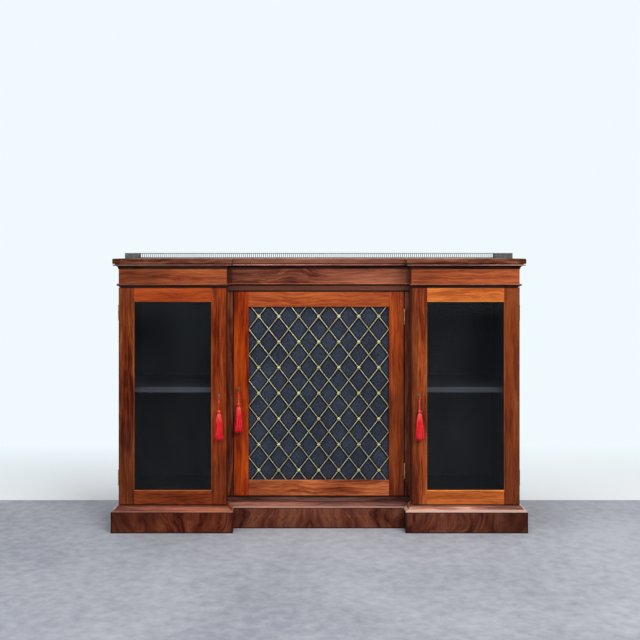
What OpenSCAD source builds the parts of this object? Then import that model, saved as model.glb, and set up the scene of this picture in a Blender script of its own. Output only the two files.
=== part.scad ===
/* [Carcass] */
// Width over the two outer sides
carcass_w = 1500; // [1300:10:1700]
// Depth from the face of the wing plinths to the back
depth = 410; // [360:5:460]
// Height from the top of the plinth to the underside of the top
carcass_h = 903; // [820:1:1000]
// Width of each glazed wing
wing_w = 404; // [350:2:440]
// How far the centre bay stands back from the wings
recess = 60; // [40:1:80]
// Thickness of the outer sides
side_t = 20; // [16:1:24]
// Thickness of the partitions beside the centre bay
partition_t = 18; // [15:1:22]
// Thickness of the back board
back_t = 10; // [6:1:14]
// Thickness of the bottom boards
bottom_t = 17; // [12:1:20]

/* [Plinth] */
// Height of the plinth
plinth_h = 97; // [80:1:130]
// How far the plinth stands out from the carcass
plinth_out = 25; // [18:1:32]
// Thickness of the plinth boards
plinth_t = 22; // [16:1:28]
// Height of the moulded slope along the top of the plinth
plinth_slope_h = 17; // [10:1:20]
// Width of the plinth ledge that carries the carcass
plinth_ledge = 40; // [32:1:50]

/* [Top] */
// Thickness of the top
top_t = 20; // [16:1:26]
// How far the top stands out from the carcass
top_out = 20; // [15:1:26]
// Radius of the eased front edge of the top
top_edge_r = 4; // [2:0.5:6]
// Height of the moulding under the top
cornice_h = 19; // [14:1:26]

/* [Gallery] */
// Height of the brass gallery
gallery_h = 21; // [16:1:40]
// Thickness of the gallery strip
gallery_t = 2; // [1.2:0.2:3]
// Distance from the end of the top to the gallery
gallery_inset = 31; // [15:1:60]
// Distance from the front edge of the top to the gallery ends
gallery_setback = 84; // [40:2:160]
// Distance from one gallery bar to the next
gallery_pitch = 8.4; // [6:0.2:14]
// Width of a gallery bar
gallery_bar = 2.4; // [1.6:0.2:3.6]

/* [Frieze] */
// Height of the wing frieze boards
frieze_h = 86; // [76:1:100]
// Height of the bead along the foot of the frieze
bead_h = 8; // [6:0.5:12]
// Height of the strip of frieze under the bead
bead_lift = 4; // [2:0.5:8]
// How far the bead stands out
bead_out = 7; // [5:0.5:9]

/* [Doors] */
// Thickness of the doors
door_t = 22; // [20:1:26]
// Clearance round a door
door_gap = 2; // [1.2:0.1:2.5]
// Width of the door stiles
stile_w = 58; // [52:1:66]
// Width of the rails of the glazed doors
wing_rail_w = 54; // [50:1:66]
// Width of the rails of the centre door
centre_rail_w = 60; // [52:1:68]
// Thickness of wood in front of the glass and the grille
lip_t = 8; // [6:0.5:9]
// Width of the rebate that holds the glass and the grille
rebate_w = 8; // [6:0.5:10]
// Width of the bevel round the opening of a door
sight_bevel = 2; // [1:0.2:3]
// Thickness of the glass
glass_t = 3; // [2:0.5:4]
// Length of the tenons
tenon_l = 30; // [20:1:36]
// Thickness of the tenons
tenon_t = 7; // [5:0.5:8]
// Width of the frame stiles beside the centre door
frame_w = 18.6; // [16:0.2:24]
// Depth of the frame stiles beside the centre door
frame_d = 36; // [34:1:44]
// Height of the strip of frieze under the centre bead
frame_top = 17; // [12:1:26]

/* [Grille] */
// Number of rosettes across the centre door
grille_columns = 7; // [5:1:9]
// Number of rosettes up the centre door
grille_rows = 7; // [5:1:9]
// Distance from a rail to the nearest row of rosettes
grille_margin = 36; // [20:1:50]
// Width of a brass strip
strip_w = 5.4; // [4:0.2:8]
// Thickness of a brass strip
strip_t = 1.6; // [1:0.2:2]
// Diameter of a rosette
rosette_d = 16; // [12:1:20]
// Thickness of a rosette
rosette_t = 2.4; // [1.6:0.2:3.2]
// Thickness of the silk panel behind the grille
silk_t = 1.6; // [1:0.2:2]

/* [Shelves] */
// Height of the shelf undersides above the plinth
shelf_z = 415; // [300:5:520]
// Thickness of the shelves
shelf_t = 20; // [16:1:24]
// Distance from the back of a door to the front of its shelf
shelf_setback = 26; // [24:1:40]
// Width of a shelf stud
stud_w = 12; // [8:1:16]
// Thickness of a shelf stud
stud_t = 4; // [3:0.5:6]
// Diameter of the stud's peg
peg_d = 6; // [5:0.5:8]

/* [Hinges] */
// Length of a hinge
hinge_l = 58; // [50:1:75]
// Distance from the end of a door to its nearest hinge
hinge_end = 67; // [60:1:100]
// Width of a hinge leaf
leaf_w = 17; // [14:1:18]
// Thickness of a hinge leaf
leaf_t = 1.6; // [1.2:0.1:2]
// Radius of the hinge knuckles
knuckle_r = 3.2; // [3:0.1:3.6]
// Radius of the hinge pin
pin_r = 1.5; // [1.2:0.1:1.8]

/* [Locks] */
// Height of the wing door keys above the floor
wing_key_z = 509; // [480:1:560]
// Height of the centre door key above the floor
centre_key_z = 525; // [480:1:560]
// Distance from the edge of a wing door to its key
wing_key_inset = 28; // [26:1:31]
// Distance from the edge of the centre door to its key
centre_key_inset = 21; // [19:1:25]
// Height of the lock case
lock_h = 50; // [46:1:60]
// Depth of the lock case behind the door
lock_d = 11; // [10:0.5:13]
// Height of the bolt
bolt_h = 9; // [7:0.5:10]
// Thickness of the bolt
bolt_t = 5; // [4:0.5:6]
// Travel of the bolt
bolt_throw = 6; // [4:0.5:7]
// Radius of the ring bow of a key, to the middle of its wire
bow_r = 7.5; // [6.5:0.5:8]
// Radius of the bow's wire
bow_wire_r = 1.4; // [1:0.1:1.6]
// Radius of the key's shank
shank_r = 2.4; // [2:0.1:2.8]
// Length of shank between the door and the bow
shank_out = 7; // [6:0.5:7.5]

/* [Tassels] */
// Length of the tassel's cord
cord_l = 42; // [30:1:60]
// Diameter of the tassel's cord
cord_d = 2.6; // [2:0.1:3.2]
// Length of the tassel below its cord
tassel_l = 112; // [90:1:130]
// Width of the tassel at its foot
tassel_w = 35; // [28:1:38]

/* [Hidden] */
$fn = 48;

// Colours of the finished surfaces
rosewood = [0.42, 0.15, 0.07];
dark_lining = [0.06, 0.07, 0.09];
brass = [0.78, 0.66, 0.40];
steel = [0.45, 0.44, 0.42];
scarlet = [0.80, 0.05, 0.06];

// Planes of the carcass: x is to the right, y to the back, z up
half_w = carcass_w / 2;
bay_x = half_w - wing_w;
wing_y = -depth / 2 + plinth_out;
bay_y = wing_y + recess;
back_y = depth / 2;
back_face_y = back_y - back_t;
base_z = plinth_h;
top_z = plinth_h + carcass_h;
frieze_z = top_z - frieze_h;
door_seat = 1;
inner_y = wing_y + door_t + door_seat;
side_x = half_w - side_t;
partition_x = bay_x + partition_t;
fit = 0.1;

// Doors
wing_door_z = base_z + door_gap;
wing_door_h = frieze_z - base_z - 2 * door_gap;
bay_door_z = base_z + bottom_t + door_gap;
bay_door_top = frieze_z - frame_top - door_gap;
bay_door_h = bay_door_top - bay_door_z;
bay_door_half = bay_x - frame_w - door_gap;
glass_fit = 0.5;
grille_back = lip_t + 2 * strip_t;

// Hinges: the pivot stands clear of the wood, in line with the joint between the leaves
pivot_out = knuckle_r + 0.4;
knuckles = 5;
pin_clear = 0.05;
knuckle_gap = 0.2;

// Locks
lock_edge_gap = door_gap;
lock_tail = 26;
lock_above = 21;
slide_fit = 0.25;
bit_reach = 6.6;
bit_t = 1.8;
bit_w = 4.5;
bit_y = 3.2;
bolt_z = 8.2;
bolt_y = 3;
bolt_tail = 20;
key_hole_r = 3.2;
key_collar_l = 2.5;
wing_strike = wing_key_inset - partition_t;
bay_strike = centre_key_inset + door_gap;
wing_key_x = half_w - wing_w + wing_key_inset;
bay_key_x = bay_door_half - centre_key_inset;
bow_y = -shank_out - bow_r - bow_wire_r;

// Tassels
loop_r = 3.2;
loop_wire_r = 0.9;
tassel_rings = 14;
tassel_sides = 24;
tassel_squash = 0.78;

// A straight moulding along x from 0 to len, with its outward side towards -y.
// The profile is a list of [distance outward, height]. A mitre of 1 is for an outer
// corner, -1 for an inner corner, and 0 is a square end.
module run(profile, len, start_mitre, end_mitre) {
    far = max([for (p = profile) p[0]]);
    near = min([for (p = profile) p[0]]);
    low = min([for (p = profile) p[1]]);
    high = max([for (p = profile) p[1]]);
    spare = max(abs(far), abs(near)) + 1;
    intersection() {
        translate([-spare, 0, 0])
            rotate([90, 0, 90])
                linear_extrude(len + 2 * spare)
                    polygon([for (p = profile) [-p[0], p[1]]]);
        translate([0, 0, low - 1])
            linear_extrude(high - low + 2)
                polygon([[-start_mitre * near, -near], [len + end_mitre * near, -near],
                    [len + end_mitre * far, -far], [-start_mitre * far, -far]]);
    }
}

// Points of a quarter or half curve, from angle a to angle b about a centre
function arc(cx, cz, r, a, b, steps) =
    [for (i = [0 : steps]) let (t = a + (b - a) * i / steps) [cx + r * cos(t), cz + r * sin(t)]];

// The three lengths that go round the left wing: its side, its front and its return
module wing_runs(profile) {
    translate([-half_w, back_y, 0]) rotate(-90) run(profile, back_y - wing_y, 0, 1);
    translate([-half_w, wing_y, 0]) run(profile, wing_w, 1, 1);
    translate([-bay_x, wing_y, 0]) rotate(90) run(profile, recess, 1, -1);
}

// The length across the centre bay, between the two returns
module bay_run(profile) {
    translate([-bay_x, bay_y, 0]) run(profile, 2 * bay_x, -1, -1);
}

// A board between two corners
module board(low, high) {
    translate(low) cube([high[0] - low[0], high[1] - low[1], high[2] - low[2]]);
}

// Plinth board with its ledge, and a slope with a hollow and a rounded nose along its top
nose_r = 3;
fillet_w = 3;
slope_z = plinth_h - plinth_slope_h;
hollow_steps = 8;
plinth_profile = concat(
    [[plinth_out - plinth_t, 0], [plinth_out, 0]],
    arc(plinth_out - nose_r, slope_z - nose_r, nose_r, 0, 70, 5),
    [for (i = [0 : hollow_steps]) let (t = i / hollow_steps, u = 1 - t)
        [fillet_w + (plinth_out - nose_r - fillet_w) * u, slope_z
            + (plinth_slope_h - 1) * (t - 0.16 * sin(180 * t))]],
    [[fillet_w, plinth_h], [-plinth_ledge, plinth_h], [-plinth_ledge, plinth_h - plinth_t],
        [plinth_out - plinth_t, plinth_h - plinth_t]]);

module plinth_left() {
    color(rosewood) wing_runs(plinth_profile);
}

module plinth_centre() {
    color(rosewood) bay_run(plinth_profile);
}

// The rail that closes the plinth at the back, between the side boards and their ledges
module plinth_back() {
    wide = half_w + plinth_out - plinth_t;
    narrow = half_w - plinth_ledge;
    color(rosewood) {
        board([-wide, back_y - plinth_t, 0], [wide, back_y, plinth_h - plinth_t]);
        board([-narrow, back_y - plinth_t, 0], [narrow, back_y, plinth_h]);
    }
}

// Cornice: a fillet, a cove and an astragal, with a sunk line between the astragal and the top
cornice_fillet = 2;
astragal_r = 2.5;
sunk_h = 2;
sunk_depth = 8;
astragal_x = top_out - 1 - astragal_r;
astragal_z = top_z - sunk_h - astragal_r;
cove_z = top_z - cornice_h + cornice_fillet;
cove_r = min(astragal_z - astragal_r - cove_z, astragal_x - cornice_fillet - 0.5);
cornice_profile = concat(
    [[0, top_z - cornice_h], [cornice_fillet, top_z - cornice_h], [cornice_fillet, cove_z]],
    arc(cornice_fillet + cove_r, cove_z, cove_r, 180, 90, 8),
    [[cornice_fillet + cove_r, astragal_z - astragal_r]],
    arc(astragal_x, astragal_z, astragal_r, -90, 90, 8),
    [[top_out - sunk_depth, top_z - sunk_h], [top_out - sunk_depth, top_z], [0, top_z]]);

module cornice_left() {
    color(rosewood) wing_runs(cornice_profile);
}

module cornice_centre() {
    color(rosewood) bay_run(cornice_profile);
}

// Bead: a half round on a flat back
bead_r = bead_h / 2;
bead_z = frieze_z + bead_lift;
bead_profile = concat([[0, bead_z]],
    arc(bead_out - bead_r, bead_z + bead_r, bead_r, -90, 90, 12),
    [[0, bead_z + bead_h]]);

module bead_left() {
    color(rosewood) wing_runs(bead_profile);
}

module bead_centre() {
    color(rosewood) bay_run(bead_profile);
}

// The top: a slab over the wings and the centre bay, with a rounded edge mitred round it
top_profile = concat([[0, top_z]],
    arc(top_out - top_edge_r, top_z + top_edge_r, top_edge_r, -90, 0, 4),
    arc(top_out - top_edge_r, top_z + top_t - top_edge_r, top_edge_r, 0, 90, 4),
    [[0, top_z + top_t]]);

module top() {
    color(rosewood) {
        translate([0, 0, top_z])
            linear_extrude(top_t)
                polygon([[-half_w, back_y], [-half_w, wing_y], [-bay_x, wing_y],
                    [-bay_x, bay_y], [bay_x, bay_y], [bay_x, wing_y], [half_w, wing_y],
                    [half_w, back_y]]);
        for (side = [0, 1])
            mirror([side, 0, 0]) wing_runs(top_profile);
        bay_run(top_profile);
    }
}

// A pierced strip: a foot and a top rail joined by upright bars
gallery_rail = 3;
module gallery_strip(len) {
    slots = floor((len - gallery_bar) / gallery_pitch);
    margin = (len - slots * gallery_pitch - gallery_bar) / 2 + gallery_bar;
    rotate([90, 0, 0])
        linear_extrude(gallery_t)
            difference() {
                square([len, gallery_h]);
                for (i = [0 : slots - 1])
                    translate([margin + i * gallery_pitch, gallery_rail])
                        square([gallery_pitch - gallery_bar, gallery_h - 2 * gallery_rail]);
            }
}

module gallery() {
    gallery_x = half_w + top_out - gallery_inset;
    front = wing_y - top_out + gallery_setback;
    rear = back_y - gallery_t;
    color(brass)
        translate([0, 0, top_z + top_t]) {
            translate([-gallery_x, back_y, 0]) gallery_strip(2 * gallery_x);
            for (side = [0, 1])
                mirror([side, 0, 0])
                    translate([-gallery_x, rear, 0]) rotate(-90) mirror([0, 1, 0])
                        gallery_strip(rear - front);
        }
}

// Sides and partitions
module side_left() {
    color(rosewood)
        difference() {
            board([-half_w, inner_y, base_z], [-side_x, back_face_y, top_z]);
            peg_holes(-side_x, 1);
            wing_hinges(frame_recess = true);
        }
}

module partition_left() {
    color(rosewood)
        difference() {
            board([-partition_x, inner_y, base_z], [-bay_x, back_face_y, top_z]);
            peg_holes(-partition_x, -1);
            bay_peg_holes();
            at_wing_lock() strike_mortise(wing_strike, partition_t);
        }
}

module back_board() {
    color(dark_lining)
        board([-half_w, back_face_y, base_z], [half_w, back_y, top_z]);
}

// Three bottom boards, housed between the sides and the partitions
module bottom_boards() {
    color(dark_lining) {
        for (side = [0, 1])
            mirror([side, 0, 0])
                board([-side_x, inner_y, base_z], [-partition_x, back_face_y, base_z + bottom_t]);
        board([-bay_x, bay_y, base_z], [bay_x, back_face_y, base_z + bottom_t]);
    }
}

// Shelves rest on studs, which have a flat head and a peg
shelf_low = base_z + shelf_z;
wing_shelf_y = wing_y + door_t + shelf_setback;
bay_shelf_y = bay_y + door_t + shelf_setback;
shelf_end_gap = 0.5;
stud_end = 50;
stud_seat = 0.3;
peg_l = 8;
peg_sink = 1;
stud_low = shelf_low - stud_seat - stud_t;
peg_z = stud_low - peg_d / 2 + peg_sink;

module shelf_left() {
    color(dark_lining)
        board([-side_x + shelf_end_gap, wing_shelf_y, shelf_low],
            [-partition_x - shelf_end_gap, back_face_y - shelf_end_gap, shelf_low + shelf_t]);
}

module shelf_centre() {
    color(dark_lining)
        board([-bay_x + shelf_end_gap, bay_shelf_y, shelf_low],
            [bay_x - shelf_end_gap, back_face_y - shelf_end_gap, shelf_low + shelf_t]);
}

// A stud on a wall at x: its flat head points along the given way, its peg into the wall
module stud(x, y, way) {
    translate([way > 0 ? x : x - stud_w, y - stud_w / 2, stud_low])
        cube([stud_w, stud_w, stud_t]);
    translate([x + way * (stud_w - 2), y, peg_z])
        rotate([0, -90 * way, 0]) cylinder(h = peg_l + stud_w - 2, d = peg_d);
}

function stud_rows(front) = [front + stud_end, back_face_y - stud_end];

module peg_holes(x, way) {
    for (y = stud_rows(wing_shelf_y)) peg_hole(x, y, way);
}

module peg_hole(x, y, way) {
    translate([x + way, y, peg_z])
        rotate([0, -90 * way, 0]) cylinder(h = peg_l + 1 + fit, d = peg_d + 2 * pin_clear);
}

// The centre studs stand a peg's width behind those of the wings, so no two pegs meet
function bay_stud_rows() = [for (y = stud_rows(bay_shelf_y)) y - 2 * peg_d];

module bay_peg_holes() {
    for (y = bay_stud_rows()) peg_hole(-bay_x, y, 1);
}

module shelf_studs() {
    color(brass)
        for (side = [0, 1])
            mirror([side, 0, 0]) {
                for (y = stud_rows(wing_shelf_y)) {
                    stud(-side_x, y, 1);
                    stud(-partition_x, y, -1);
                }
                for (y = bay_stud_rows()) stud(-bay_x, y, 1);
            }
}

// Frieze boards
module frieze_left() {
    color(rosewood)
        board([-half_w, wing_y, frieze_z], [-bay_x, inner_y, top_z]);
}

module frieze_centre() {
    color(rosewood)
        board([-bay_x, bay_y, frieze_z - frame_top], [bay_x, inner_y + recess, top_z]);
}

// The stiles of the fixed frame beside the centre door
module frame_stile(lock_side) {
    edge = bay_x - frame_w;
    color(rosewood)
        difference() {
            board([-bay_x, bay_y, base_z + bottom_t],
                [-edge, bay_y + frame_d, frieze_z - frame_top]);
            if (lock_side) at_bay_lock() strike_mortise(bay_strike, frame_w);
            if (!lock_side) bay_hinges(frame_recess = true);
        }
}

// Door parts, in the door's own frame: x from its edge, y from its face, z from its foot
module stile(h, rail) {
    inner_low = rail - rebate_w;
    difference() {
        cube([stile_w, door_t, h]);
        translate([stile_w - rebate_w, lip_t, inner_low])
            cube([rebate_w + 1, door_t, h - 2 * inner_low]);
        for (z = [0, h])
            translate([stile_w - tenon_l - fit, 0, z]) mirror([0, 0, z > 0 ? 1 : 0])
                translate([0, lip_t - fit, tenon_foot - fit])
                    cube([tenon_l + 1, tenon_t + 2 * fit, tenon_h(rail) + 2 * fit]);
    }
}

tenon_foot = 8;
function tenon_h(rail) = rail - rebate_w - tenon_foot - 4;

// A rail between two stiles, with its rebate along the upper edge
module rail(len, w) {
    difference() {
        cube([len, door_t, w]);
        translate([-1, lip_t, w - rebate_w]) cube([len + 2, door_t, rebate_w + 1]);
    }
    translate([-tenon_l, lip_t, tenon_foot]) cube([len + 2 * tenon_l, tenon_t, tenon_h(w)]);
}

wing_rail_len = wing_w - 2 * stile_w;
bay_rail_len = 2 * bay_door_half - 2 * stile_w;

// The bevel round a door's opening, cut from its stiles and rails, so it mitres in the corners
bevel_reach = sight_bevel + 1;
function bevel_section(len) =
    [[-bevel_reach, -1], [len + bevel_reach, -1], [len, sight_bevel], [0, sight_bevel]];

module bevel_cut(w, h) {
    intersection() {
        translate([0, 0, -bevel_reach])
            linear_extrude(h + 2 * bevel_reach) polygon(bevel_section(w));
        translate([w + bevel_reach, 0, 0])
            rotate([0, -90, 0])
                linear_extrude(w + 2 * bevel_reach) polygon(bevel_section(h));
    }
}

module wing_bevel() {
    translate([-half_w + stile_w, wing_y, wing_door_z + wing_rail_w])
        bevel_cut(wing_rail_len, wing_door_h - 2 * wing_rail_w);
}

module bay_bevel() {
    translate([-bay_door_half + stile_w, bay_y, bay_door_z + centre_rail_w])
        bevel_cut(bay_rail_len, bay_door_h - 2 * centre_rail_w);
}

module left_door_hinge_stile() {
    color(rosewood)
        difference() {
            translate([-half_w, wing_y, wing_door_z]) stile(wing_door_h, wing_rail_w);
            wing_hinges(door_recess = true);
            wing_bevel();
        }
}

module left_door_lock_stile() {
    color(rosewood)
        difference() {
            translate([-bay_x, wing_y, wing_door_z])
                mirror([1, 0, 0]) stile(wing_door_h, wing_rail_w);
            key_hole(-wing_key_x, wing_y, wing_key_z);
            wing_bevel();
        }
}

module wing_rail() {
    difference() {
        translate([-half_w + stile_w, wing_y, wing_door_z]) rail(wing_rail_len, wing_rail_w);
        wing_bevel();
    }
}

module left_door_bottom_rail() {
    color(rosewood) wing_rail();
}

module left_door_top_rail() {
    color(rosewood)
        translate([0, 0, 2 * wing_door_z + wing_door_h])
            mirror([0, 0, 1]) wing_rail();
}

module left_door_glass() {
    grow = rebate_w - glass_fit;
    color([0.75, 0.85, 0.88, 0.35])
        translate([-half_w + stile_w - grow, wing_y + lip_t, wing_door_z + wing_rail_w - grow])
            cube([wing_rail_len + 2 * grow, glass_t,
                wing_door_h - 2 * wing_rail_w + 2 * grow]);
}

module centre_door_hinge_stile() {
    color(rosewood)
        difference() {
            translate([bay_door_half, bay_y, bay_door_z])
                mirror([1, 0, 0]) stile(bay_door_h, centre_rail_w);
            mirror([1, 0, 0]) bay_hinges(door_recess = true);
            bay_bevel();
        }
}

module centre_door_lock_stile() {
    color(rosewood)
        difference() {
            translate([-bay_door_half, bay_y, bay_door_z]) stile(bay_door_h, centre_rail_w);
            key_hole(-bay_key_x, bay_y, centre_key_z);
            bay_bevel();
        }
}

module bay_rail() {
    difference() {
        translate([-bay_door_half + stile_w, bay_y, bay_door_z]) rail(bay_rail_len, centre_rail_w);
        bay_bevel();
    }
}

module centre_door_bottom_rail() {
    color(rosewood) bay_rail();
}

module centre_door_top_rail() {
    color(rosewood)
        translate([0, 0, 2 * bay_door_z + bay_door_h])
            mirror([0, 0, 1]) bay_rail();
}

// Grille: two layers of slanting strips, with a rosette on every second row of crossings
grille_w = bay_rail_len + 2 * (rebate_w - glass_fit);
grille_h = bay_door_h - 2 * centre_rail_w + 2 * (rebate_w - glass_fit);
grille_mid_z = bay_door_z + bay_door_h / 2;
diamond_w = bay_rail_len / grille_columns;
diamond_h = (bay_door_h - 2 * centre_rail_w - 2 * grille_margin) / (grille_rows - 1);
strip_angle = atan2(diamond_h, diamond_w);
strip_reach = ceil((grille_w / diamond_w + grille_h / diamond_h) / 2);

module strips(lean) {
    intersection() {
        rotate([90, 0, 0])
            linear_extrude(strip_t)
                for (k = [-strip_reach : strip_reach])
                    translate([(k + grille_phase) * diamond_w, 0])
                        rotate(lean * strip_angle)
                            square([3 * grille_h, strip_w], center = true);
        translate([-grille_w / 2, -strip_t, -grille_h / 2])
            cube([grille_w, strip_t, grille_h]);
    }
}

// A flat border round the strips, held in the rebate
module grille_border() {
    rim = rebate_w - 2 * glass_fit;
    translate([0, 2 * strip_t, 0])
        rotate([90, 0, 0])
            linear_extrude(2 * strip_t)
                difference() {
                    square([grille_w, grille_h], center = true);
                    square([grille_w - 2 * rim, grille_h - 2 * rim], center = true);
                }
}

// With an odd count of columns and of rows, a rosette lies at the middle of the grille
grille_phase = (grille_columns + grille_rows) % 2 / 2;

// A rosette: a boss on four petals
module rosette() {
    petal_d = 0.46 * rosette_d;
    rotate([90, 0, 0]) {
        for (turn = [0 : 3])
            rotate(90 * turn)
                translate([(rosette_d - petal_d) / 2, 0, 0])
                    cylinder(h = rosette_t / 2, d = petal_d, $fn = 24);
        cylinder(h = rosette_t, d = 0.36 * rosette_d, $fn = 24);
    }
}

module centre_door_grille() {
    color(brass)
        translate([0, bay_y + lip_t, grille_mid_z]) {
            translate([0, strip_t, 0]) strips(1);
            translate([0, 2 * strip_t, 0]) strips(-1);
            grille_border();
            for (i = [0 : grille_columns - 1], j = [0 : grille_rows - 1])
                translate([(i - (grille_columns - 1) / 2) * diamond_w, 0,
                    (j - (grille_rows - 1) / 2) * diamond_h])
                    rosette();
        }
}

silk_gap = 0.3;
module centre_door_silk() {
    color([0.13, 0.15, 0.19])
        translate([-grille_w / 2, bay_y + grille_back + silk_gap, grille_mid_z - grille_h / 2])
            cube([grille_w, silk_t, grille_h]);
}

// Hinges. In the hinge's own frame the pivot is the z axis and the leaves run along +x into
// the joint, the door's leaf on the -y side of the joint and the carcass's on the +y side.
module leaf_plate(way, gap, spare) {
    translate([pivot_out - spare, way > 0 ? gap / 2 : -gap / 2 - leaf_t, -spare])
        cube([leaf_w + 2 * spare, leaf_t, hinge_l + 2 * spare]);
}

module hinge_leaf(way, gap, first) {
    part_l = hinge_l / knuckles;
    leaf_plate(way, gap, 0);
    for (i = [first : 2 : knuckles - 1])
        translate([0, 0, i * part_l + knuckle_gap / 2]) {
            cylinder(h = part_l - knuckle_gap, r = knuckle_r);
            translate([0, way > 0 ? gap / 2 : -gap / 2 - leaf_t, 0])
                cube([pivot_out + 1, leaf_t, part_l - knuckle_gap]);
        }
}

// One piece of a hinge, or the recess for one: the door's or the carcass's
module hinge_piece(gap, door_leaf, frame_leaf, door_recess, frame_recess) {
    if (door_leaf)
        difference() {
            hinge_leaf(-1, gap, 1);
            translate([0, 0, -1]) cylinder(h = hinge_l + 2, r = pin_r + pin_clear);
        }
    if (frame_leaf) {
        hinge_leaf(1, gap, 0);
        cylinder(h = hinge_l, r = pin_r);
    }
    if (door_recess) leaf_plate(-1, gap, fit);
    if (frame_recess) leaf_plate(1, gap, fit);
}

// Both hinges of the left wing: the pivot is outside the side, behind the door
module wing_hinges(door_leaf = false, frame_leaf = false, door_recess = false,
    frame_recess = false) {
    for (z = [wing_door_z + hinge_end, wing_door_z + wing_door_h - hinge_end - hinge_l])
        translate([-half_w - pivot_out, wing_y + door_t + door_seat / 2, z])
            hinge_piece(door_seat, door_leaf, frame_leaf, door_recess, frame_recess);
}

// Both hinges of the centre door, drawn at its left edge: the pivot is before its face
module bay_hinges(door_leaf = false, frame_leaf = false, door_recess = false,
    frame_recess = false) {
    for (z = [bay_door_z + hinge_end, bay_door_z + bay_door_h - hinge_end - hinge_l])
        translate([-bay_door_half - door_gap / 2, bay_y - pivot_out, z])
            rotate(90)
                hinge_piece(door_gap, door_leaf, frame_leaf, door_recess, frame_recess);
}

module hinge_plates() {
    color(brass) {
        wing_hinges(frame_leaf = true);
        mirror([1, 0, 0]) wing_hinges(frame_leaf = true);
        mirror([1, 0, 0]) bay_hinges(frame_leaf = true);
    }
}

// Locks. In the lock's own frame the key is on the y axis, y is 0 at the back of the door,
// and the bolt moves towards -x, where the strike face is at a distance from the key.
module lock_case(strike) {
    edge = strike - lock_edge_gap;
    difference() {
        board([-edge, 0, lock_above - lock_h], [lock_tail, lock_d, lock_above]);
        board([-edge - 1, bolt_y - slide_fit, bolt_z - slide_fit],
            [bolt_tail + slide_fit, bolt_y + bolt_t + slide_fit, bolt_z + bolt_h + slide_fit]);
        translate([0, bit_y - 0.6, 0])
            rotate([-90, 0, 0]) cylinder(h = bit_w + 1.2, r = bit_reach + 0.5);
        translate([0, -1, 0]) rotate([-90, 0, 0]) cylinder(h = lock_d, r = shank_r + pin_clear);
    }
}

module lock_bolt(strike) {
    board([-strike + lock_edge_gap, bolt_y, bolt_z], [bolt_tail, bolt_y + bolt_t, bolt_z + bolt_h]);
}

// The hole that the bolt enters, in the piece beside the door
module strike_mortise(strike, wall) {
    clear = 2 * slide_fit;
    board([-strike - min(bolt_throw + 1, wall - 3), bolt_y - clear, bolt_z - clear],
        [-strike + 1, bolt_y + bolt_t + clear, bolt_z + bolt_h + clear]);
}

module key_hole(x, y, z) {
    translate([x, y - 1, z]) rotate([-90, 0, 0]) cylinder(h = door_t + 2, r = key_hole_r);
}

// A key: a ring bow, a collar, a shank and a bit that hangs down inside the lock
module door_key() {
    shank_front = -shank_out - bow_wire_r;
    shank_end = door_t + lock_d - 2;
    translate([0, bow_y, 0])
        rotate([0, 90, 0])
            rotate_extrude() translate([bow_r, 0]) circle(r = bow_wire_r, $fn = 24);
    translate([0, shank_front, 0])
        rotate([-90, 0, 0]) cylinder(h = shank_end - shank_front, r = shank_r);
    translate([0, -shank_out, 0])
        rotate([-90, 0, 0]) cylinder(h = key_collar_l, r = shank_r + 1);
    translate([-bit_t / 2, door_t + bit_y, -bit_reach]) cube([bit_t, bit_w, bit_reach]);
}

// A tube swept along points of a near-upright route, in rings of level points
module tube(route, r, sides) {
    rings = len(route);
    polyhedron(
        points = [for (p = route, k = [0 : sides - 1])
            p + [r * cos(360 * k / sides), r * sin(360 * k / sides), 0]],
        faces = concat(
            [[for (k = [0 : sides - 1]) k]],
            [for (i = [0 : rings - 2], k = [0 : sides - 1])
                let (a = i * sides + k, b = i * sides + (k + 1) % sides)
                [a, a + sides, b + sides, b]],
            [[for (k = [0 : sides - 1]) rings * sides - 1 - k]]));
}

// The cord's route below its loop: sideways sway and drop, as shares of its length
cord_route = [[0, 0], [0.006, 0.12], [0.014, 0.26], [0.018, 0.4], [0.018, 0.55], [0.012, 0.7],
    [0.005, 0.85], [0, 1]];

// Half width of the tassel at a share of the way down: a knot, a neck and a flaring skirt
function tassel_half(t) =
    t < 0.09 ? cord_d / 2 + 3 * sqrt(max(0, sin(180 * t / 0.09)))
    : tassel_w / 2 * (0.2 + 0.8 * pow((t - 0.09) / 0.91, 0.62));

function tassel_share(i) = i < 5 ? 0.09 * i / 4.5 : 0.1 + 0.9 * (i - 5) / (tassel_rings - 5);

module tassel_body() {
    function ring(i) = let (t = tassel_share(i), w = tassel_half(t))
        [for (k = [0 : tassel_sides - 1]) let (a = 360 * k / tassel_sides)
            [w * cos(a), w * (t > 0.09 ? tassel_squash : 1) * sin(a), -t * tassel_l]];
    polyhedron(
        points = [for (i = [0 : tassel_rings], p = ring(i)) p],
        faces = concat(
            [[for (k = [0 : tassel_sides - 1]) tassel_sides - 1 - k]],
            [for (i = [0 : tassel_rings - 1], k = [0 : tassel_sides - 1])
                let (a = i * tassel_sides + k, b = i * tassel_sides + (k + 1) % tassel_sides)
                [a, b, b + tassel_sides, a + tassel_sides]],
            [[for (k = [0 : tassel_sides - 1]) tassel_rings * tassel_sides + k]]));
}

// A tassel with its origin at the middle of the bow's lowest wire
module tassel() {
    cord_top = -loop_r;
    rotate([90, 0, 0]) rotate_extrude() translate([loop_r, 0]) circle(r = loop_wire_r, $fn = 16);
    translate([0, 0, cord_top]) mirror([0, 0, 1])
        tube([for (p = cord_route) [p[0] * cord_l, 0, p[1] * cord_l]], cord_d / 2, 8);
    translate([0, 0, cord_top - cord_l]) tassel_body();
}

module left_door_hinge_leaves() {
    color(brass) wing_hinges(door_leaf = true);
}

module centre_door_hinge_leaves() {
    color(brass) mirror([1, 0, 0]) bay_hinges(door_leaf = true);
}

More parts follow.
